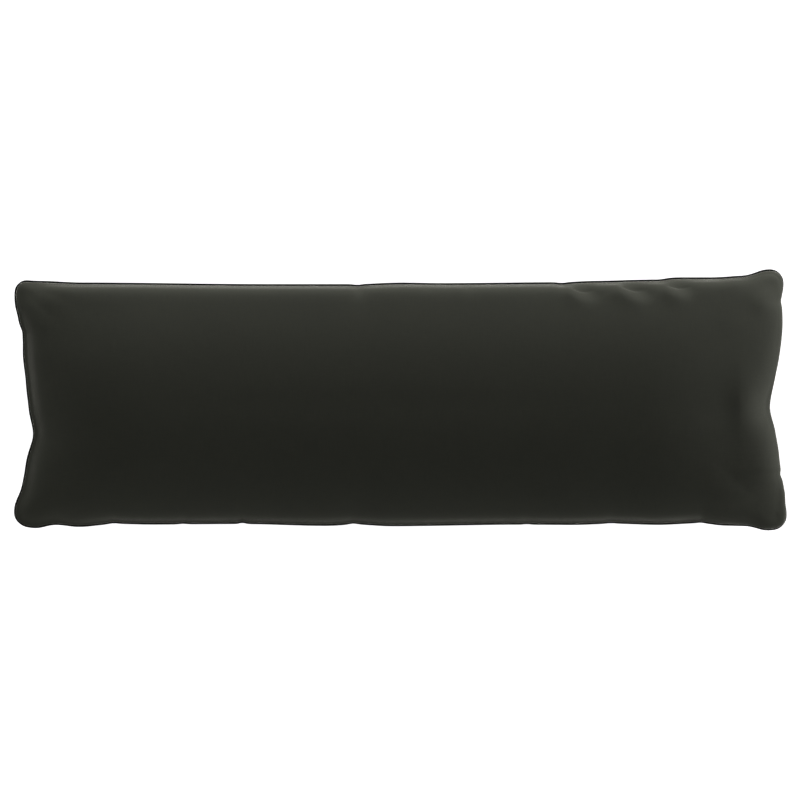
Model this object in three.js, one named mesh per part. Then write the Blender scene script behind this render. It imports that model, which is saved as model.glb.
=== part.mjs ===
// A long back cushion, lying on its back with its face up.
// Two rectangular panels are sewn together round a soft filling, with piping caught in the seam.
// The filling crowns both panels and draws the seam in between the corners, which stand out as soft ears.
// Units are millimetres: +X runs along the length, +Y across the width, and +Z is up.
import * as THREE from "three";

// Driving sizes of the filled cushion, over the piping.
const LENGTH = 1200;
const WIDTH = 404;
const THICKNESS = 120;
const SEAM_HEIGHT = 56; // of the seam over the surface that the cushion lies on
const EAR_SAG = 8; // how much lower the seam lies at the corners, where there is little filling
const CORNER_RADIUS = 21;

// The piping is a covered cord, half sunk between the two panels.
const PIPING_RADIUS = 1.5;
const SEWING_GAP = 0.35; // between the cord and the panels
const SOCKET = PIPING_RADIUS + SEWING_GAP; // radius of the round space that the panels leave for the cord
const LIP_IN = 0.45 * SOCKET; // from the cord's middle in to the panels' lips
const LIP_UP = 0.9 * SOCKET; // from the seam's height up or down to a lip
const STITCH_IN = 1.7 * SOCKET; // from the cord's middle in to the stitched line

// The crown: the panels rise steeply at the seam and level out over these distances from the edges.
const RISE_END = 215; // from a short side
const RISE_SIDE = 202; // from a long side, which is to the middle line
const CROWN_UP = THICKNESS - SEAM_HEIGHT;
const CROWN_DOWN = 69; // of the back panel if nothing flattened it: the resting surface cuts it off flat
const ROUNDNESS = 2.15; // of the crown's section: 2 is an ellipse, and more is fuller
const SWELL_RIGHT = 20; // how hard the filling pushes the panels out over the seam at the right short side
const SWELL_LEFT = -9; // it stays short of the left one, where the piping shows

// The mesh: cells along and across, which are packed closer towards the edges.
const CELLS_ALONG = 84;
const CELLS_ACROSS = 28;
const EDGE_PITCH = 0.35; // a cell's size at the edge, as a share of the average cell
const PIPING_SIDES = 8;

// How far the seam is drawn in from the rectangle LENGTH by WIDTH, at places along each side.
// Along the long sides `at` is X, and along the short sides it is Y.
const TOP_SIDE = [
  { at: -600, by: 16 },
  { at: -560, by: 18 },
  { at: -495, by: 20.5 },
  { at: -200, by: 23 },
  { at: -70, by: 23 },
  { at: 0, by: 20.5 },
  { at: 60, by: 21.5 },
  { at: 250, by: 20 },
  { at: 300, by: 18 },
  { at: 390, by: 16 },
  { at: 430, by: 12.5 },
  { at: 490, by: 12.5 },
  { at: 535, by: 10 },
  { at: 575, by: 0 },
  { at: 600, by: 0 },
];
const BOTTOM_SIDE = [
  { at: -600, by: 5 },
  { at: -570, by: 4 },
  { at: -535, by: 7.5 },
  { at: -500, by: 4 },
  { at: -440, by: 9 },
  { at: -390, by: 8 },
  { at: -250, by: 9 },
  { at: -110, by: 6 },
  { at: -70, by: 8.5 },
  { at: -20, by: 5.5 },
  { at: 190, by: 8 },
  { at: 270, by: 7.5 },
  { at: 330, by: 9.5 },
  { at: 400, by: 7.5 },
  { at: 465, by: 10 },
  { at: 505, by: 6 },
  { at: 535, by: 5.5 },
  { at: 572, by: 0 },
  { at: 600, by: 0 },
];
const LEFT_SIDE = [
  { at: -202, by: 0 },
  { at: -175, by: 0 },
  { at: -130, by: 14.5 },
  { at: -100, by: 19.5 },
  { at: -51, by: 31 },
  { at: -15, by: 24.5 },
  { at: 30, by: 20 },
  { at: 80, by: 14 },
  { at: 105, by: 15 },
  { at: 130, by: 9 },
  { at: 165, by: 2.5 },
  { at: 202, by: 2.5 },
];
const RIGHT_SIDE = [
  { at: -202, by: 0 },
  { at: -178, by: 0 },
  { at: -145, by: 4.5 },
  { at: -118, by: 13 },
  { at: -90, by: 18 },
  { at: -48, by: 26 },
  { at: -12, by: 37.5 },
  { at: 20, by: 30.5 },
  { at: 60, by: 22 },
  { at: 90, by: 16 },
  { at: 115, by: 13.5 },
  { at: 150, by: 12 },
  { at: 178, by: 7 },
  { at: 202, by: 7 },
];

// Soft folds that start at the seam and run into the face panel. `turn` is the fold's direction in degrees
// from +X, and `deep` is how far the trough sinks. A fold at a short side's deepest draw-in goes round to
// the back panel too.
const FOLDS = [
  { x: -572, y: -51, turn: 4, long: 70, wide: 22, deep: 6, both: true },
  { x: 568, y: -12, turn: 172, long: 50, wide: 20, deep: 5, both: true },
  { x: -68, y: 180, turn: -65, long: 45, wide: 13, deep: 3, both: false },
  { x: 272, y: 182, turn: -30, long: 75, wide: 13, deep: 4.5, both: false },
  { x: 346, y: 185, turn: -28, long: 80, wide: 13, deep: 4.5, both: false },
  { x: 410, y: 187, turn: -22, long: 65, wide: 12, deep: 3.5, both: false },
];

// The value at `at` of a side's table: an even ease from each row to the next.
function drawnIn(rows, at) {
  const next = rows.findIndex((row) => row.at >= at);
  if (next <= 0) return next === 0 ? rows[0].by : rows.at(-1).by;
  const [from, to] = [rows[next - 1], rows[next]];
  const ease = THREE.MathUtils.smoothstep(at, from.at, to.at);
  return THREE.MathUtils.lerp(from.by, to.by, ease);
}

// A coordinate of the even box mesh, moved so that the cells are smaller towards both edges.
function packToEdges(value, half) {
  const share = value / half;
  return half * (EDGE_PITCH * share + (1 - EDGE_PITCH) * Math.sin((share * Math.PI) / 2));
}

// The flat place of a point of the panels: the rectangle with round corners and with its sides drawn in.
function planOf(x, y) {
  const straight = [LENGTH / 2 - CORNER_RADIUS, WIDTH / 2 - CORNER_RADIUS];
  const pastX = Math.max(0, Math.abs(x) - straight[0]) / CORNER_RADIUS;
  const pastY = Math.max(0, Math.abs(y) - straight[1]) / CORNER_RADIUS;
  const roundX = Math.abs(x) - pastX * CORNER_RADIUS * (1 - Math.sqrt(1 - pastY ** 2 / 2));
  const roundY = Math.abs(y) - pastY * CORNER_RADIUS * (1 - Math.sqrt(1 - pastX ** 2 / 2));
  const right = (1 + (2 * x) / LENGTH) / 2;
  const top = (1 + (2 * y) / WIDTH) / 2;
  const inX = drawnIn(LEFT_SIDE, y) * (1 - right) ** 4 - drawnIn(RIGHT_SIDE, y) * right ** 4;
  const inY = drawnIn(BOTTOM_SIDE, x) * (1 - top) ** 2 - drawnIn(TOP_SIDE, x) * top ** 2;
  return new THREE.Vector2(Math.sign(x) * roundX + inX, Math.sign(y) * roundY + inY);
}

// The crown's height as a share of the full one, at a distance in from an edge.
function rise(distance, over) {
  const left = 1 - Math.min(1, Math.max(0, distance) / over);
  return (1 - left ** ROUNDNESS) ** (1 / ROUNDNESS);
}

// How deep the folds sink the face or the back panel at a place.
function foldDepth(place, isBack) {
  let depth = 0;
  for (const fold of FOLDS) {
    if (isBack && !fold.both) continue;
    const turn = THREE.MathUtils.degToRad(fold.turn);
    const off = new THREE.Vector2(place.x - fold.x, place.y - fold.y);
    const along = off.x * Math.cos(turn) + off.y * Math.sin(turn);
    const across = off.y * Math.cos(turn) - off.x * Math.sin(turn);
    const fade = 1 - THREE.MathUtils.smoothstep(along, 0, fold.long);
    const start = THREE.MathUtils.smoothstep(along, -fold.wide, 0);
    depth += fold.deep * start * fade * Math.exp(-((across / fold.wide) ** 2));
  }
  return depth;
}

// The seam's height: level along the sides and sagging to the corners.
function seamHeight(x, y) {
  return SEAM_HEIGHT - EAR_SAG * ((2 * x) / LENGTH) ** 4 * ((2 * y) / WIDTH) ** 2;
}

// The outline of the piping's middle line, as base points once round the mesh's edge, turning left.
function edgePoints() {
  const points = [];
  const walk = (cells, place) => {
    for (let i = 0; i < cells; i++) points.push(place(-1 + (2 * i) / cells));
  };
  walk(CELLS_ALONG, (t) => [(t * LENGTH) / 2, -WIDTH / 2]);
  walk(CELLS_ACROSS, (t) => [LENGTH / 2, (t * WIDTH) / 2]);
  walk(CELLS_ALONG, (t) => [(-t * LENGTH) / 2, WIDTH / 2]);
  walk(CELLS_ACROSS, (t) => [-LENGTH / 2, (-t * WIDTH) / 2]);
  return points.map(([x, y]) => new THREE.Vector2(packToEdges(x, LENGTH / 2), packToEdges(y, WIDTH / 2)));
}

// The piping's middle line with its outward direction at each point.
function pipingLine() {
  const outer = edgePoints().map((p) => ({ base: p, plan: planOf(p.x, p.y) }));
  return outer.map(({ base, plan }, i) => {
    const before = outer.at(i - 1).plan;
    const after = outer[(i + 1) % outer.length].plan;
    const out = new THREE.Vector2(after.y - before.y, before.x - after.x).normalize();
    const middle = plan.clone().addScaledVector(out, -PIPING_RADIUS);
    return { base, out, middle, height: seamHeight(base.x, base.y) };
  });
}

const line = pipingLine();

// The piping's point at each place on the panels' edge.
const keyOf = (x, y) => `${x.toFixed(3)},${y.toFixed(3)}`;
const lineAt = new Map(line.map((point) => [keyOf(point.base.x, point.base.y), point]));

// The filled cover: a box mesh with side walls two cells high becomes two crowned panels with a groove
// between them.
function makeCover() {
  const cover = new THREE.BoxGeometry(LENGTH, WIDTH, 2, CELLS_ALONG, CELLS_ACROSS, 2);
  const position = cover.getAttribute("position");
  for (let i = 0; i < position.count; i++) {
    const x = packToEdges(position.getX(i), LENGTH / 2);
    const y = packToEdges(position.getY(i), WIDTH / 2);
    const level = Math.sign(Math.round(position.getZ(i))); // 1: face, 0: stitched line, -1: back
    const edge = lineAt.get(keyOf(x, y));
    const place = edge
      ? edge.middle.clone().addScaledVector(edge.out, level === 0 ? -STITCH_IN : -LIP_IN)
      : panelPlan(x, y);
    const height = edge ? edge.height + level * LIP_UP : panelHeight(x, y, place, level);
    position.setXYZ(i, place.x, place.y, height);
  }
  return cover;
}

// The flat place of a point inside a panel, pushed out where the ends swell over the seam.
function panelPlan(x, y) {
  const place = planOf(x, y);
  const endRise = rise(LENGTH / 2 - Math.abs(x), RISE_END);
  const sideRise = rise(WIDTH / 2 - Math.abs(y), RISE_SIDE);
  const swell = (x < 0 ? -SWELL_LEFT : SWELL_RIGHT) * Math.sin(Math.PI * endRise) * sideRise ** 2;
  place.x += swell * (1 - endRise);
  return place;
}

// The height of a point inside a panel.
function panelHeight(x, y, place, level) {
  const crown = rise(LENGTH / 2 - Math.abs(x), RISE_END) * rise(WIDTH / 2 - Math.abs(y), RISE_SIDE);
  const depth = foldDepth(place, level < 0);
  const seam = seamHeight(x, y);
  if (level > 0) return seam + LIP_UP + Math.max(0, (CROWN_UP - LIP_UP) * crown - depth);
  return Math.max(0, seam - LIP_UP - Math.max(0, (CROWN_DOWN - LIP_UP) * crown - depth));
}

// The piping: a ring of round sections along its middle line, closed on itself.
function makePiping() {
  const piping = new THREE.TorusGeometry(LENGTH, PIPING_RADIUS, PIPING_SIDES, line.length);
  const position = piping.getAttribute("position");
  for (let side = 0; side <= PIPING_SIDES; side++) {
    const turn = (2 * Math.PI * (side % PIPING_SIDES)) / PIPING_SIDES;
    for (let step = 0; step <= line.length; step++) {
      const { middle, out, height } = line[step % line.length];
      const place = middle.clone().addScaledVector(out, PIPING_RADIUS * Math.cos(turn));
      const above = height + PIPING_RADIUS * Math.sin(turn);
      position.setXYZ(side * (line.length + 1) + step, place.x, place.y, above);
    }
  }
  return piping;
}

const coverFabric = new THREE.MeshStandardMaterial({ color: 0x2f302c, roughness: 0.85, metalness: 0 });
const pipingFabric = new THREE.MeshStandardMaterial({ color: 0x1a1a18, roughness: 0.7, metalness: 0 });

const cushion = new THREE.Group();
for (const [name, geometry, material] of [
  ["cushion", makeCover(), coverFabric],
  ["piping", makePiping(), pipingFabric],
]) {
  geometry.computeVertexNormals();
  const mesh = new THREE.Mesh(geometry, material);
  mesh.name = name;
  cushion.add(mesh);
}

// The origin is the middle of the base.
const middle = new THREE.Box3().setFromObject(cushion).getCenter(new THREE.Vector3());
for (const mesh of cushion.children) mesh.position.set(-middle.x, -middle.y, 0);

export default cushion;
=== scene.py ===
import math

import bpy
import numpy as np
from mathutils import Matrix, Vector, kdtree


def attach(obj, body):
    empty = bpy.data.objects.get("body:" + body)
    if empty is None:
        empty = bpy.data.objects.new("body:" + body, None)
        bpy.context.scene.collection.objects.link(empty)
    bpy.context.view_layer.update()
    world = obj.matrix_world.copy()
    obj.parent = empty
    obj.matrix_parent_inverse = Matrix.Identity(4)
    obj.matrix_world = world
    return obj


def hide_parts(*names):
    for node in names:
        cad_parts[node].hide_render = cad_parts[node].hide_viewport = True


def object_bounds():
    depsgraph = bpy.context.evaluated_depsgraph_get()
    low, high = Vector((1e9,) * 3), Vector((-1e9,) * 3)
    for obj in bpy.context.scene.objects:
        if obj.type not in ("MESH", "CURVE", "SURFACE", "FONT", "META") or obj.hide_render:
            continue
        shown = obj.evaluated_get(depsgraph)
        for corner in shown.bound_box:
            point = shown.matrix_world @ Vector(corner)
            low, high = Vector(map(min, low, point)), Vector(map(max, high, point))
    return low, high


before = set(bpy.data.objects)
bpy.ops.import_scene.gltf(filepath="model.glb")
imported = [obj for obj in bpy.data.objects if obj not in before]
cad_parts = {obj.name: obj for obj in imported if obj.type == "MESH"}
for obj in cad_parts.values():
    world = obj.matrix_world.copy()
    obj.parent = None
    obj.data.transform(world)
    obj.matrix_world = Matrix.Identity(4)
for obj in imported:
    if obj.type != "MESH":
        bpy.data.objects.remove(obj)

solid_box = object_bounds()


# The piping: a strip of darker cloth cut on the bias, folded round a cord and caught in the seam all the
# way round. It is the solid's cord made smooth, and its weave lies at 45 degrees to it. The cord's middle is
# the line of the seam, round which the cover is shaped as well.
CORD_RADIUS = 0.0015
WELD = 1e-5
SQUARE_LIMIT = math.radians(80)  # of bend and skew, within which two triangles become one square
RING_TOP = 0.9  # how upright the surface is at the highest point of each of the cord's rings
SEAM_STEP = 0.0005  # between the points of the seam's line
RING_WIDENING = 1.108  # makes up for what smoothing takes off a ring of eight points


def copy_of_solid(node, name):
    """A welded copy of a CAD node's mesh in squares, selected and active."""
    bpy.ops.object.select_all(action="DESELECT")
    piece = bpy.data.objects.new(name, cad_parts[node].data.copy())
    bpy.context.scene.collection.objects.link(piece)
    bpy.context.view_layer.objects.active = piece
    piece.select_set(True)
    piece.data.materials.clear()
    bpy.ops.mesh.customdata_custom_splitnormals_clear()
    bpy.ops.object.mode_set(mode="EDIT")
    bpy.ops.mesh.select_all(action="SELECT")
    bpy.ops.mesh.remove_doubles(threshold=WELD)
    bpy.ops.mesh.tris_convert_to_quads(face_threshold=SQUARE_LIMIT, shape_threshold=SQUARE_LIMIT)
    bpy.ops.object.mode_set(mode="OBJECT")
    bpy.ops.object.shade_smooth()
    return piece


def round_the_cushion(point):
    return math.atan2(point.y, point.x)


piping = copy_of_solid("piping", "piping_cord")

# The highest point of each of the cord's rings, less the cord's radius, is a point of its middle line.
down = Vector((0, 0, CORD_RADIUS))
ring_middles = [v.co - down for v in piping.data.vertices if v.normal.z > RING_TOP]
ring_middles.sort(key=round_the_cushion)
smooth_middles = []  # where smoothing the cord takes each of them
for index, middle in enumerate(ring_middles):
    after = ring_middles[(index + 1) % len(ring_middles)]
    smooth_middles.append((ring_middles[index - 1] + 4 * middle + after) / 6)
seam_line = []
for index, middle in enumerate(smooth_middles):
    before = smooth_middles[index - 1]
    parts = max(1, round((middle - before).length / SEAM_STEP))
    seam_line += [before.lerp(middle, part / parts) for part in range(parts)]
seam_out = []  # the outward direction at each of its points
for index in range(len(seam_line)):
    ahead = seam_line[(index + 1) % len(seam_line)] - seam_line[index - 1]
    seam_out.append(Vector((ahead.y, -ahead.x, 0)).normalized())
seam_tree = kdtree.KDTree(len(seam_line))
for index, point in enumerate(seam_line):
    seam_tree.insert(point, index)
seam_tree.balance()


def nearest_on_seam(points):
    """The place on the seam's line that is nearest to each point, and the outward direction there."""
    found = [seam_tree.find(point) for point in points]
    places = np.array([place for place, _, _ in found])
    return places, np.array([seam_out[index] for _, index, _ in found])


# Puckers in the seam, where the sewing has gathered the cloth a little: small notches in the outline, and a
# few places between them where it stands out instead, by a negative amount. The piping and the cover share
# them. "at" is a place along X or Y, and "wide" is half of a pucker's width.
NOTCHES = [
    {"side": "bottom", "at": -0.445, "by": 0.0012, "wide": 0.009},
    {"side": "bottom", "at": -0.337, "by": 0.0010, "wide": 0.008},
    {"side": "bottom", "at": -0.245, "by": 0.0018, "wide": 0.006},
    {"side": "bottom", "at": -0.073, "by": 0.0016, "wide": 0.008},
    {"side": "bottom", "at": 0.196, "by": 0.0009, "wide": 0.006},
    {"side": "bottom", "at": 0.326, "by": 0.0009, "wide": 0.009},
    {"side": "bottom", "at": 0.466, "by": 0.0010, "wide": 0.008},
    {"side": "top", "at": -0.066, "by": 0.0012, "wide": 0.008},
    {"side": "top", "at": 0.250, "by": 0.0012, "wide": 0.009},
    {"side": "top", "at": 0.402, "by": 0.0008, "wide": 0.009},
    {"side": "right", "at": -0.115, "by": 0.0022, "wide": 0.006},
    {"side": "right", "at": 0.152, "by": 0.0014, "wide": 0.007},
    {"side": "left", "at": 0.106, "by": 0.0012, "wide": 0.007},
    {"side": "left", "at": 0.080, "by": 0.0012, "wide": 0.040},
    {"side": "left", "at": -0.056, "by": 0.0012, "wide": 0.018},
    {"side": "bottom", "at": -0.563, "by": -0.0022, "wide": 0.018},
    {"side": "bottom", "at": 0.566, "by": -0.0018, "wide": 0.018},
    {"side": "right", "at": 0.140, "by": -0.0012, "wide": 0.035},
]
NOTCH_SPAN = 0.03  # along the seam, each way from a notch: the outermost point in there is its edge
NOTCH_REACH = 0.030  # how far into the panels a notch is felt


def pucker(points):
    """Draws the points near the seam in at each notch."""
    axis_and_sign = {"bottom": (1, -1), "top": (1, 1), "left": (0, -1), "right": (0, 1)}
    for notch in NOTCHES:
        across, sign = axis_and_sign[notch["side"]]
        along = 1 - across
        beside = [sign * p[across] for p in seam_line if abs(p[along] - notch["at"]) < NOTCH_SPAN]
        inward = max(beside, default=0) - sign * points[:, across]
        near = np.exp(-(((points[:, along] - notch["at"]) / notch["wide"]) ** 2))
        fade = np.exp(-((inward / NOTCH_REACH) ** 2))
        points[:, across] -= sign * notch["by"] * near * fade
    return points


def read_points(piece):
    """The piece's vertices as an array, a row for each."""
    points = np.empty(len(piece.data.vertices) * 3)
    piece.data.vertices.foreach_get("co", points)
    return points.reshape(-1, 3)


def write_points(piece, points):
    piece.data.vertices.foreach_set("co", points.ravel())
    piece.data.update()


def add_and_apply(piece, kind, **settings):
    """Adds a modifier with these settings and applies it."""
    bpy.ops.object.select_all(action="DESELECT")
    bpy.context.view_layer.objects.active = piece
    piece.select_set(True)
    modifier = piece.modifiers.new(kind.title(), kind)
    for setting, value in settings.items():
        setattr(modifier, setting, value)
    bpy.ops.object.modifier_apply(modifier=modifier.name)


def wrap_pattern(piece):
    """A UV map in metres: U runs along the seam, and V round the cord."""
    steps = [(seam_line[i] - seam_line[i - 1]).length for i in range(len(seam_line))]
    along = np.cumsum(steps)
    once_along, once_round = float(along[-1]), 2 * math.pi * CORD_RADIUS
    layer = piece.data.uv_layers.new(name="wrap")
    for face in piece.data.polygons:
        places = []
        for loop in face.loop_indices:
            vertex = piece.data.vertices[piece.data.loops[loop].vertex_index].co
            _, index, _ = seam_tree.find(vertex)
            off = vertex - seam_line[index]
            angle = math.atan2(off.z, off.dot(seam_out[index]))
            places.append([float(along[index]), angle * CORD_RADIUS])
        for part, period in enumerate((once_along, once_round)):
            highest = max(place[part] for place in places)
            for place in places:
                if highest - place[part] > period / 2:
                    place[part] += period
        for loop, place in zip(face.loop_indices, places):
            layer.data[loop].uv = place


def thicken(piece, share):
    """Widens the cord's rings about its middle line."""
    points = read_points(piece)
    middle, _ = nearest_on_seam(points)
    write_points(piece, middle + (points - middle) * share)


# The weave of both cloths. The warp runs along X of the pattern, and the weft along Y.
UNDER, OVER = 0.2, 1.0  # the height of a yarn's crown where it runs under the others and over them
YARN_ROUNDNESS = 0.6  # the power of the sine across a yarn: a smaller one is flatter
WARP_SLUBS = (40, 900, 1)  # thick and thin places in a metre, along the yarns and across them
WEFT_SLUBS = (900, 40, 1)
FIBRES = (5000, 5000, 1)  # in a metre
TONE_PATCHES = 9.0  # in a metre, where the dye has taken a little more or less
TONE = (0.92, 1.08)
SHADED_GAP_SHARE = 0.4  # of the yarn's colour that is left in the gaps between the yarns, which are darkened with painted shade
SLUB_SHARE = (0.5, 1.5)  # of it that shows in the thin and in the thick places
MATT = (0.72, 0.92)  # the roughness from fibre to fibre
YARN_RELIEF, FIBRE_RELIEF = 0.8, 0.25
RELIEF_DEPTH = 0.25  # of the distance from yarn to yarn


def woven(name, yarn, gap_shade, pitch, turn, sheen):
    """A plain weave of spun yarn on the piece's UV map in metres, with painted shade in its gaps: `pitch` is
    from yarn to yarn.
    """
    material = bpy.data.materials.new(name)
    material.use_nodes = True
    nodes, links = material.node_tree.nodes, material.node_tree.links
    shader = nodes["Principled BSDF"]

    def calculate(operation, *sources):
        node = nodes.new("ShaderNodeMath")
        node.operation = operation
        for source, socket in zip(sources, node.inputs):
            if hasattr(source, "links"):
                links.new(source, socket)
            else:
                socket.default_value = source
        return node.outputs[0]

    def between(source, low, high):
        """Goes from `low` to `high` as the source goes from 0 to 1."""
        return calculate("MULTIPLY_ADD", source, high - low, low)

    def noise(vector, detail, scale=1.0):
        node = nodes.new("ShaderNodeTexNoise")
        links.new(vector, node.inputs["Vector"])
        node.inputs["Scale"].default_value = scale
        node.inputs["Detail"].default_value = detail
        return node.outputs["Fac"]

    def mapped(vector, scale, angle=0.0):
        node = nodes.new("ShaderNodeMapping")
        links.new(vector, node.inputs["Vector"])
        node.inputs["Scale"].default_value = scale
        node.inputs["Rotation"].default_value = (0, 0, angle)
        return node.outputs["Vector"]

    pattern = nodes.new("ShaderNodeUVMap").outputs["UV"]
    turned = mapped(pattern, (1, 1, 1), turn)
    threads = nodes.new("ShaderNodeSeparateXYZ")
    links.new(mapped(turned, (1 / pitch, 1 / pitch, 1)), threads.inputs[0])
    x, y = threads.outputs["X"], threads.outputs["Y"]

    def yarns(across, along, start):
        """The height of the yarns that run one way: round across, and over and under along."""
        rounded = calculate("ABSOLUTE", calculate("SINE", calculate("MULTIPLY", across, math.pi)))
        number = calculate("ADD", calculate("FLOOR", across), start)
        wave = calculate("COSINE", calculate("MULTIPLY", calculate("ADD", along, number), math.pi))
        crown = calculate("MULTIPLY_ADD", wave, (OVER - UNDER) / 2, (OVER + UNDER) / 2)
        return calculate("MULTIPLY", calculate("POWER", rounded, YARN_ROUNDNESS), crown)

    # The warp starts one yarn later, so that it goes over where the weft goes under.
    weave = calculate("MAXIMUM", yarns(x, y, start=0), yarns(y, x, start=1))
    warp, weft = (noise(mapped(turned, slubs), detail=2) for slubs in (WARP_SLUBS, WEFT_SLUBS))
    mean = calculate("MULTIPLY", calculate("ADD", warp, weft), 0.5)
    slubs = between(mean, *SLUB_SHARE)
    fibre = noise(mapped(turned, FIBRES), detail=3)
    tone = noise(pattern, detail=3, scale=TONE_PATCHES)

    # Painted shade: the colour darkens from the yarns' crowns down into the gaps between them. The slubs
    # make it lighter and darker at random.
    colour = nodes.new("ShaderNodeMix")
    colour.data_type = "RGBA"
    links.new(calculate("MULTIPLY", between(weave, SHADED_GAP_SHARE, 1.0), slubs), colour.inputs["Factor"])
    colour.inputs["A"].default_value = (*gap_shade, 1)
    colour.inputs["B"].default_value = (*yarn, 1)
    shade = nodes.new("ShaderNodeHueSaturation")
    links.new(colour.outputs["Result"], shade.inputs["Color"])
    links.new(between(tone, *TONE), shade.inputs["Value"])
    links.new(shade.outputs["Color"], shader.inputs["Base Color"])
    links.new(between(fibre, *MATT), shader.inputs["Roughness"])
    shader.inputs["Specular IOR Level"].default_value = 0.3
    shader.inputs["Sheen Weight"].default_value = sheen
    shader.inputs["Sheen Roughness"].default_value = 0.3
    shader.inputs["Sheen Tint"].default_value = (1.0, 0.985, 0.9, 1)

    fibre_relief = calculate("MULTIPLY", fibre, FIBRE_RELIEF)
    relief = calculate("ADD", calculate("MULTIPLY", weave, YARN_RELIEF), fibre_relief)
    bump = nodes.new("ShaderNodeBump")
    bump.inputs["Strength"].default_value = 0.5
    bump.inputs["Distance"].default_value = RELIEF_DEPTH * pitch
    links.new(relief, bump.inputs["Height"])
    links.new(bump.outputs["Normal"], shader.inputs["Normal"])
    return material


wrap_pattern(piping)
thicken(piping, RING_WIDENING)
add_and_apply(piping, "SUBSURF", levels=2, render_levels=2)
write_points(piping, pucker(read_points(piping)))
piping.data.materials.append(
    woven(
        # The darker gap colour is painted shade down between the yarns.
        "piping_cloth", yarn=(0.011, 0.011, 0.0095), gap_shade=(0.005, 0.005, 0.0045), pitch=0.0005,
        turn=math.radians(45), sheen=0.1,
    )
)
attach(piping, "root")
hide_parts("piping")


# The filled cover: two panels of charcoal cloth, cut alike, sewn together round the edge and filled with
# soft fibre. It starts from the solid's panels a little slack, and the cloth simulation blows it up with its
# seam held. Its edges, mounds and folds are then shaped as the photograph shows them.
SEWN_REACH = 0.03  # the seam holds the points that are so near to its line
SEWN_HEIGHT = 0.0020  # and no further above or below it than this,
STITCHED_HEIGHT = 0.0008  # and the stitched line is those within this height
SLACK = 0.94  # of the solid's crown, before the filling swells it
SWELL_LIMIT = 0.022
SWELL_FRAMES = 20
STILL = 1e-9  # a point that moves less hasn't moved
EVENING = 60  # rounds that part the broad swelling from the fine puckers
BROAD_SHARE = 0.1  # of the broad swelling that is kept, because the solid has the crown already
PUCKER_SHARE = 0.25  # of the fine puckers, because the photographed cloth is nearly smooth,
PUCKER_REACH = 0.045  # and how far from the seam they die out
REST_HEIGHT = 0.0  # of the surface that the cushion lies on

cover = copy_of_solid("cushion", "cushion_cover")


def sewn_points(piece):
    """The numbers of the vertices that the seam holds, and of those on the stitched line."""
    held, stitched = [], []
    for vertex in piece.data.vertices:
        point, _, distance = seam_tree.find(vertex.co)
        height = abs(vertex.co.z - point.z)
        if distance < SEWN_REACH and height < SEWN_HEIGHT:
            held.append(vertex.index)
            if height < STITCHED_HEIGHT:
                stitched.append(vertex.index)
    return held, stitched


def lay_out_pattern(piece, stitched):
    """Unwraps the panels at the stitched line, in metres and as they were cut, with the warp along X."""
    stitched = set(stitched)
    for edge in piece.data.edges:
        edge.use_seam = all(v in stitched for v in edge.vertices)
    bpy.ops.object.mode_set(mode="EDIT")
    bpy.ops.mesh.select_all(action="SELECT")
    bpy.ops.uv.unwrap(method="ANGLE_BASED", margin=0.01)
    bpy.ops.object.mode_set(mode="OBJECT")
    mesh = piece.data
    loops = np.empty(len(mesh.loops) * 2)
    mesh.uv_layers.active.data.foreach_get("uv", loops)
    flat = loops[0::2] + 1j * loops[1::2]
    corners = np.empty(len(mesh.loops), dtype=int)
    mesh.loops.foreach_get("vertex_index", corners)
    points = read_points(piece)
    is_back = np.empty(len(mesh.loops), dtype=bool)
    for face in mesh.polygons:
        side = face.center.z < seam_tree.find(face.center)[0].z
        is_back[face.loop_start : face.loop_start + face.loop_total] = side
    # With places as complex numbers, one factor turns and sizes a whole panel to lie as it does when sewn.
    for back in (False, True):
        chosen = is_back == back
        seen = points[corners[chosen]]
        sewn = seen[:, 0] + (-1j if back else 1j) * seen[:, 1]
        sewn = sewn - sewn.mean()
        cut = flat[chosen] - flat[chosen].mean()
        flat[chosen] = cut * (np.conj(cut) @ sewn) / (np.conj(cut) @ cut)
    mesh.uv_layers.active.data.foreach_set("uv", np.stack([flat.real, flat.imag], 1).ravel())


held, stitched = sewn_points(cover)
lay_out_pattern(cover, stitched)
hold = cover.vertex_groups.new(name="sewn")
hold.add(held, 1.0, "REPLACE")
add_and_apply(cover, "SUBSURF", levels=1, render_levels=1)


def evened(piece, values, rounds):
    """Values at the vertices, averaged with their neighbours' so many times."""
    ends = np.empty(len(piece.data.edges) * 2, dtype=int)
    piece.data.edges.foreach_get("vertices", ends)
    one, other = ends[0::2], ends[1::2]
    neighbours = np.bincount(ends)[:, None]
    for _ in range(rounds):
        total = np.zeros_like(values)
        np.add.at(total, one, values[other])
        np.add.at(total, other, values[one])
        values = total / neighbours
    return values


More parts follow.
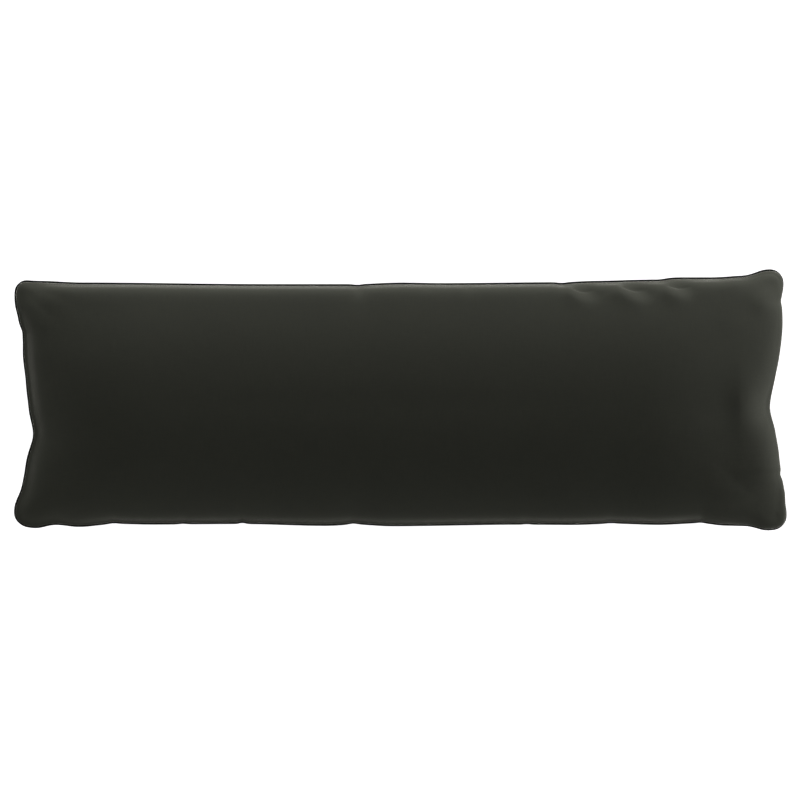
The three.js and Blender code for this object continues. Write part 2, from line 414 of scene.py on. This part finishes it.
def swell(piece):
    """Fills the cover: the cloth simulation blows it up from a slack start, with the seam held."""
    full = read_points(piece)
    start = full.copy()
    seam_height, seam_distance = np.array([(p.z, d) for p, _, d in map(seam_tree.find, full)]).T
    start[:, 2] = seam_height + (full[:, 2] - seam_height) * SLACK
    write_points(piece, start)
    modifier = piece.modifiers.new("Cloth", "CLOTH")
    cloth = modifier.settings
    cloth.quality = 6
    cloth.mass = 0.3
    cloth.tension_stiffness = 25
    cloth.compression_stiffness = 25
    cloth.shear_stiffness = 10
    cloth.bending_stiffness = 0.6
    cloth.use_pressure = True
    cloth.uniform_pressure_force = 4
    cloth.vertex_group_mass = "sewn"
    cloth.pin_stiffness = 1
    cloth.effector_weights.gravity = 0
    modifier.point_cache.frame_start = 1
    modifier.point_cache.frame_end = SWELL_FRAMES
    for step in range(1, SWELL_FRAMES + 1):
        bpy.context.scene.frame_set(step)
    bpy.context.view_layer.objects.active = piece
    bpy.ops.object.modifier_apply(modifier="Cloth")
    bpy.context.scene.frame_set(1)
    move = read_points(piece) - full
    length = np.linalg.norm(move, axis=1, keepdims=True)
    move *= np.minimum(1, SWELL_LIMIT / np.maximum(length, STILL))
    broad = evened(piece, move, EVENING)
    near_seam = np.exp(-((seam_distance / PUCKER_REACH) ** 2))[:, None]
    filled = full + broad * BROAD_SHARE + (move - broad) * PUCKER_SHARE * near_seam
    filled[:, 2] = np.clip(filled[:, 2], REST_HEIGHT, solid_box[1].z)
    write_points(piece, filled)


def ramp(values, start, end):
    """Rises evenly from 0 at the start to 1 at the end."""
    return np.clip((values - start) / (end - start), 0, 1)


def eased(rise):
    """The same rise from 0 to 1, with a gentle start and end."""
    return rise * rise * (3 - 2 * rise)


def hump(near):
    """Rises from 0 at 0 to 1 at 1, and then fades slowly."""
    return near * np.exp(1 - near)


# The face's upper and right edges are full and round. Past the wall, which goes up from the seam to where
# the face turns in over the filling, they are lifted, most at "peak". Its left and lower edges are thin: the
# cloth rises from the seam at a slant, so "far_in", and is lower by a "share". A pair is where along X or Y
# a shape begins and where it is whole.
WALL = 0.013
TOP_EDGE = {"across": (0, 0.15), "left_end": (-0.59, -0.54), "peak": 0.012, "lift": 0.0075}
RIGHT_EDGE = {"across": (0.42, 0.52), "lower_end": (-0.165, -0.105), "peak": 0.020, "lift": 0.0100}
RIGHT_LOSS = {"upper_end": (0.03, 0.13), "share": 0.6}  # of its lift, towards the upper right corner
RIGHT_BULGE = {"across": (0.45, 0.57), "peak": 0.012, "out": 0.0022}  # over the seam, most at this height
LEFT_EDGE = {"across": (-0.45, -0.57), "upper_end": (0.17, 0.12), "far_in": 0.014, "share": 0.68}
LOWER_EDGE = {"across": (-0.10, -0.15), "far_in": 0.009, "share": 0.60}
LOWER_LEFT_END, LOWER_RIGHT_END = (-0.57, -0.45), (0.57, 0.45)
LIP_HEIGHT = 0.0022  # the cloth over the cord, which keeps its shape
CORNER = {"x": 0.575, "y": 0.170, "reach": 0.032, "share": 0.8}  # of the lift and bulge, which corners lose


def shape_edge(shape, seam, out, from_seam):
    """Makes the face's upper and right edges full and round, and its lower and left edges thin."""
    x, y = shape[:, 0], shape[:, 1]
    top = ramp(y, *TOP_EDGE["across"]) * ramp(x, *TOP_EDGE["left_end"])
    less = 1 - RIGHT_LOSS["share"] * ramp(y, *RIGHT_LOSS["upper_end"])
    right = ramp(x, *RIGHT_EDGE["across"]) * less * ramp(y, *RIGHT_EDGE["lower_end"])
    left = ramp(x, *LEFT_EDGE["across"]) * ramp(y, *LEFT_EDGE["upper_end"])
    lower = ramp(y, *LOWER_EDGE["across"]) * ramp(x, *LOWER_LEFT_END) * ramp(x, *LOWER_RIGHT_END)
    from_corner = np.hypot(np.abs(x) - CORNER["x"], np.abs(y) - CORNER["y"])
    plain = 1 - CORNER["share"] * np.exp(-((from_corner / CORNER["reach"]) ** 2))

    past_wall = np.maximum(from_seam - WALL, 0)
    top_lift = TOP_EDGE["lift"] * top * hump(past_wall / TOP_EDGE["peak"])
    right_lift = RIGHT_EDGE["lift"] * right * hump(past_wall / RIGHT_EDGE["peak"])
    inside = np.maximum(((seam - shape) * out).sum(1), 0)
    height = np.maximum(shape[:, 2] - seam[:, 2], 0)
    thin = LEFT_EDGE["share"] * left * np.exp(-((inside / LEFT_EDGE["far_in"]) ** 2))
    thin += LOWER_EDGE["share"] * lower * np.exp(-((inside / LOWER_EDGE["far_in"]) ** 2))
    bulge = RIGHT_BULGE["out"] * ramp(x, *RIGHT_BULGE["across"]) * plain
    bulge *= hump(height / RIGHT_BULGE["peak"])
    shape[:, 2] += np.hypot(top_lift, right_lift) * plain - np.maximum(height - LIP_HEIGHT, 0) * thin
    shape += out * bulge[:, None]


# Soft mounds in the face: middle, half length along X and Y, and height. A hollow's height is negative.
MOUNDS = [
    {"x": 0.526, "y": 0.000, "along": 0.022, "across": 0.040, "high": 0.0025},
    {"x": 0.582, "y": 0.003, "along": 0.030, "across": 0.036, "high": -0.0080},
    {"x": 0.600, "y": -0.010, "along": 0.036, "across": 0.130, "high": -0.0060},
    {"x": 0.518, "y": 0.132, "along": 0.045, "across": 0.034, "high": 0.0020},
    {"x": 0.556, "y": 0.156, "along": 0.024, "across": 0.020, "high": 0.0030},
]


def mounds(points):
    """How far the mounds lift the face at each point."""
    lift = np.zeros(len(points))
    for mound in MOUNDS:
        x, y = points[:, 0] - mound["x"], points[:, 1] - mound["y"]
        lift += mound["high"] * np.exp(-((x / mound["along"]) ** 2) - (y / mound["across"]) ** 2)
    return lift


# Folds, as troughs in the face: start, direction from +X in degrees, length, half width and depth.
FOLDS = [
    {"x": 0.272, "y": 0.186, "turn": -40, "long": 0.052, "wide": 0.0110, "deep": 0.0100},
    {"x": 0.349, "y": 0.188, "turn": -36, "long": 0.058, "wide": 0.0110, "deep": 0.0110},
    {"x": 0.421, "y": 0.188, "turn": -33, "long": 0.048, "wide": 0.0110, "deep": 0.0096},
    {"x": -0.064, "y": 0.184, "turn": -80, "long": 0.034, "wide": 0.0070, "deep": 0.0030},
    {"x": 0.040, "y": 0.184, "turn": -75, "long": 0.026, "wide": 0.0080, "deep": 0.0012},
    {"x": 0.104, "y": 0.184, "turn": -70, "long": 0.030, "wide": 0.0080, "deep": 0.0016},
    {"x": 0.592, "y": -0.104, "turn": 108, "long": 0.034, "wide": 0.0050, "deep": 0.0016},
]
GENTLE = 1.2  # times as wide on its lower side, which rises more gently
RIDGE_SHARE = 0.20  # of a fold's depth, in the soft ridge along its lower side
RIDGE_OFF = 1.6  # half widths from the fold's middle to the ridge's


def folds(points):
    """How far the folds sink the face at each point, as a negative height."""
    lift = np.zeros(len(points))
    for fold in FOLDS:
        turn = math.radians(fold["turn"])
        x, y = points[:, 0] - fold["x"], points[:, 1] - fold["y"]
        along = x * math.cos(turn) + y * math.sin(turn)
        across = y * math.cos(turn) - x * math.sin(turn)
        fade = 1 - eased(ramp(along, 0, fold["long"]))
        begin = ramp(along, -fold["wide"], 0)
        off = across / (fold["wide"] * np.where(across < 0, GENTLE, 1))
        trough = np.exp(-(off**2)) - RIDGE_SHARE * np.exp(-((off + RIDGE_OFF) ** 2))
        lift -= fold["deep"] * fade * begin * trough
    return lift


GRIP = 0.0030  # how far the seam draws the cloth's lips out against the cord at most,
GRIP_TO = 0.0012  # how near to the cord's middle line they may come,
GRIP_REACH = 0.008  # and how far from it this is felt. It is whole at a third of that


def grip_cord(piece):
    """Draws the cloth's lips out against the cord, and no further."""
    points = read_points(piece)
    seam, out = nearest_on_seam(points)
    off = seam - points
    near = ramp(np.linalg.norm(off, axis=1), GRIP_REACH, GRIP_REACH / 3)
    open_gap = np.maximum((off * out).sum(1) - GRIP_TO, 0)
    write_points(piece, points + out * (np.minimum(open_gap, GRIP) * near)[:, None])


CALM = (0.012, 0.026)  # from the seam: mounds and folds begin at the first distance, whole at the second


def drape(piece):
    """Shapes the face's edges, puts the mounds and folds into it, and the puckers into the seam."""
    whole = read_points(piece)
    seam, out = nearest_on_seam(whole)
    face = whole[:, 2] > seam[:, 2]
    shape = whole[face]
    from_seam = np.linalg.norm(shape - seam[face], axis=1)
    shape_edge(shape, seam[face], out[face], from_seam)
    calm = eased(ramp(from_seam, *CALM))
    shape[:, 2] += mounds(shape) * calm
    whole[face] = shape
    write_points(piece, whole)
    normals = np.empty(whole.size)
    piece.data.vertex_normals.foreach_get("vector", normals)
    whole[face] += normals.reshape(-1, 3)[face] * (folds(shape) * calm)[:, None]
    write_points(piece, whole)
    grip_cord(piece)
    write_points(piece, pucker(read_points(piece)))


swell(cover)
add_and_apply(cover, "SUBSURF", levels=1, render_levels=1)
drape(cover)
cover.data.materials.append(
    woven(
        # The darker gap colour is painted shade down between the yarns.
        "charcoal_cloth", yarn=(0.0255, 0.0272, 0.0178), gap_shade=(0.0104, 0.0112, 0.0075), pitch=0.0006,
        turn=0.0, sheen=0.9,
    )
)
cover.vertex_groups.clear()
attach(cover, "root")
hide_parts("cushion")


# The plain pale floor that the cushion lies on, and the soft white studio round it. All the softboxes stand
# low, and the strongest are past the cushion's upper edge.
FLOOR_SIZE = 30.0
FLOOR_DROP = 0.0004  # so that it doesn't flicker with the cushion's flat back
FLOOR_GLOW = 0.88
STUDIO_GLOW = 0.02

bpy.ops.object.select_all(action="DESELECT")
bpy.ops.mesh.primitive_plane_add(size=FLOOR_SIZE, location=(0, 0, -FLOOR_DROP))
floor = bpy.context.object
floor.name = "floor"
paper = bpy.data.materials.new("white_paper")
paper.use_nodes = True
paper_shader = paper.node_tree.nodes["Principled BSDF"]
paper_shader.inputs["Base Color"].default_value = (0.9, 0.9, 0.9, 1)
paper_shader.inputs["Roughness"].default_value = 0.9
paper_shader.inputs["Specular IOR Level"].default_value = 0.1
paper_shader.inputs["Emission Color"].default_value = (1, 1, 1, 1)
paper_shader.inputs["Emission Strength"].default_value = FLOOR_GLOW
floor.data.materials.append(paper)
floor.visible_diffuse = False
floor.visible_glossy = False

world = bpy.data.worlds.new("studio")
world.use_nodes = True
world.node_tree.nodes["Background"].inputs["Color"].default_value = (1, 1, 1, 1)
world.node_tree.nodes["Background"].inputs["Strength"].default_value = STUDIO_GLOW
bpy.context.scene.world = world

SOFTBOXES = [  # where each stands, its width, height and power
    {"name": "softbox_top", "at": (0.0, 2.98, 0.31), "size": (3.0, 0.5), "power": 102},
    {"name": "softbox_top_right", "at": (2.07, 2.07, 0.62), "size": (1.2, 0.7), "power": 54},
    {"name": "softbox_top_left", "at": (-2.05, 2.05, 0.78), "size": (1.2, 0.7), "power": 17},
    {"name": "softbox_right", "at": (2.59, 0.0, 0.23), "size": (1.2, 0.4), "power": 46},
    {"name": "softbox_left", "at": (-2.44, 0.0, 0.89), "size": (1.2, 0.7), "power": 12.5},
    {"name": "softbox_bottom", "at": (0.0, -2.82, 1.03), "size": (3.0, 0.7), "power": 46},
]
for box in SOFTBOXES:
    bpy.ops.object.light_add(type="AREA", location=box["at"])
    light = bpy.context.object
    light.name = box["name"]
    light.data.shape = "RECTANGLE"
    light.data.size, light.data.size_y = box["size"]
    light.data.energy = box["power"]
    light.visible_camera = False
    light.rotation_mode = "QUATERNION"
    light.rotation_quaternion = (-Vector(box["at"])).to_track_quat("-Z", "Y")

bpy.context.scene.view_settings.view_transform = "Standard"


# The camera, high over the cushion and a little to the side of its upper edge, as the photograph shows it.
# The cushion's length fills 775 of the picture's 800 pixels.
PICTURE_WIDTH = 800
CUSHION_PIXELS = 775.2
DISTANCE = 5.0
TILT = math.radians(2.5)
AIM = (-0.0006, -0.0004)
SENSOR_WIDTH = 36  # mm

aim = Vector((*AIM, seam_line[0].z))
towards = Vector((0, math.sin(TILT), math.cos(TILT)))
bpy.ops.object.camera_add(location=aim + towards * DISTANCE)
camera = bpy.context.object
camera.name = "camera"
camera.rotation_euler = (-TILT, 0, 0)
camera.data.sensor_width = SENSOR_WIDTH
picture_span = (solid_box[1].x - solid_box[0].x) * PICTURE_WIDTH / CUSHION_PIXELS
camera.data.lens = SENSOR_WIDTH * DISTANCE / picture_span
bpy.context.scene.camera = camera
